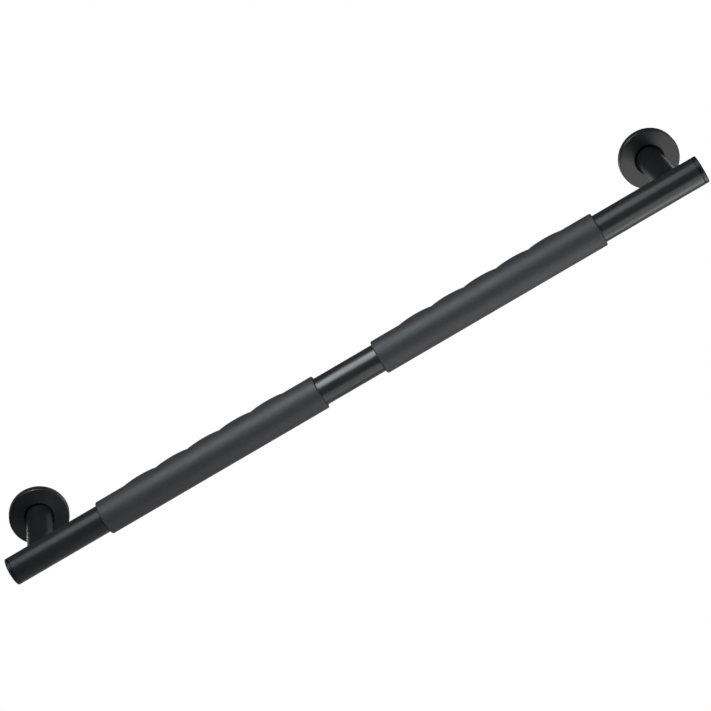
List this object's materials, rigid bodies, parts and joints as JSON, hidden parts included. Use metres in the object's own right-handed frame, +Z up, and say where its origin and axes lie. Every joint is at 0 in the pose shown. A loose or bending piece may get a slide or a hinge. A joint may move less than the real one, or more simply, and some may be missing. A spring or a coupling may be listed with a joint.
{
  "type": "wall-mounted pull-up bar",
  "caption": "Straight round wall bar with wave-backed grip sleeves, carried by standoff posts on round flanges with sliding covers.",
  "frame": {"origin": "on the wall plane, midway between the two post axes", "axes": "+X along the bar, -Y out from the wall to the bar, +Z up"},
  "size_m": [0.863, 0.1315, 0.0682],
  "materials": {
    "bar": "satin black powder coat on steel tube",
    "post": "satin black powder coat on steel tube",
    "cover": "satin black coat on a turned steel cup",
    "plate": "black coated steel plate",
    "cap": "satin black moulded plastic",
    "grip": "matte blue-grey rubber with a fine pebbled skin",
    "seal": "plain black rubber"
  },
  "bodies": {
    "bar_assembly": {"bar_tube": "bar", "left_end_cap": "cap", "right_end_cap": "cap", "left_cap_ring": "seal", "right_cap_ring": "seal", "left_grip": "grip", "right_grip": "grip", "left_post": "post", "right_post": "post", "left_saddle_weld": "post", "right_saddle_weld": "post", "left_base_weld": "plate", "right_base_weld": "plate", "left_base_plate": "plate", "right_base_plate": "plate", "left_plate_ring": "seal", "right_plate_ring": "seal", "left_wall_gasket": "seal", "right_wall_gasket": "seal"},
    "left_cover": {"left_flange_cover": "cover"},
    "right_cover": {"right_flange_cover": "cover"}
  },
  "joints": [
    {"name": "left_cover_slide", "type": "slide", "parent": "bar_assembly", "child": "left_cover", "axis": [0, -1, 0], "range_m": [0, 0.084]},
    {"name": "right_cover_slide", "type": "slide", "parent": "bar_assembly", "child": "right_cover", "axis": [0, -1, 0], "range_m": [0, 0.084]}
  ]
}
